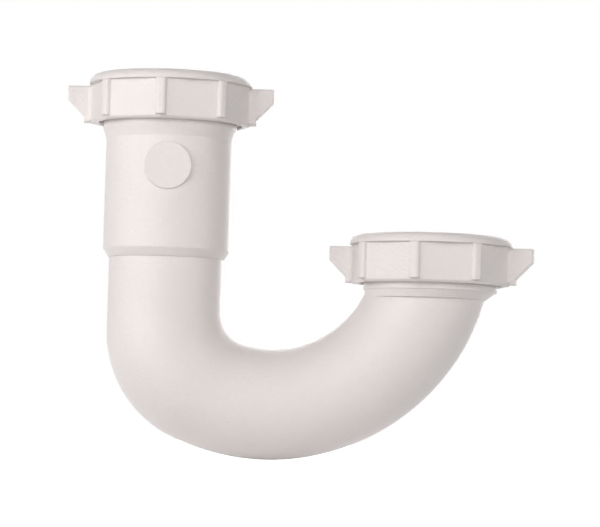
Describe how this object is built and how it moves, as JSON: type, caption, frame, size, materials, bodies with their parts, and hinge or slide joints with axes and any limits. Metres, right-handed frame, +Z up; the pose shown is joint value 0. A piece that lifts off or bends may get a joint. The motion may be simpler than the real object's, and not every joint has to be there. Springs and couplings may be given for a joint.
{
  "type": "j-bend",
  "caption": "J-shaped waste pipe bend with a long slip socket inlet, a short outlet hub and winged slip nuts over bevelled washers.",
  "frame": {"origin": "on the axis of the inlet socket, at the shoulder where the end of the pipe in the socket stops", "axes": "+Z up along the inlet axis and out of its mouth, +X from the inlet axis to the outlet axis, the J in the XZ plane"},
  "size_m": [0.1575, 0.0564, 0.1274],
  "materials": {
    "moulding": "satin white moulded plastic",
    "nut": "satin white moulded plastic",
    "washer": "soft milky plastic"
  },
  "bodies": {
    "moulding": {"j_bend": "moulding"},
    "inlet_seal": {"inlet_washer": "washer"},
    "inlet_nut": {"inlet_slip_nut": "nut"},
    "outlet_seal": {"outlet_washer": "washer"},
    "outlet_nut": {"outlet_slip_nut": "nut"}
  },
  "joints": [
    {"name": "inlet_seal_lift", "type": "slide", "parent": "moulding", "child": "inlet_seal", "axis": [0, 0, 1], "range_m": [0, 0.0078]},
    {"name": "inlet_nut_screw", "type": "hinge", "parent": "inlet_seal", "child": "inlet_nut", "pos_m": [0, 0, 0.0525], "axis": [0, 0, 1], "range_deg": [0, 1260]},
    {"name": "outlet_seal_lift", "type": "slide", "parent": "moulding", "child": "outlet_seal", "axis": [0, 0, 1], "range_m": [0, 0.0078]},
    {"name": "outlet_nut_screw", "type": "hinge", "parent": "outlet_seal", "child": "outlet_nut", "pos_m": [0.0889, 0, 0.0017], "axis": [0, 0, 1], "range_deg": [0, 1260]}
  ],
  "couplings": [
    {"joint": "inlet_seal_lift", "follows": "inlet_nut_screw", "m_per_rad": 0.00035152},
    {"joint": "outlet_seal_lift", "follows": "outlet_nut_screw", "m_per_rad": 0.00035152}
  ]
}
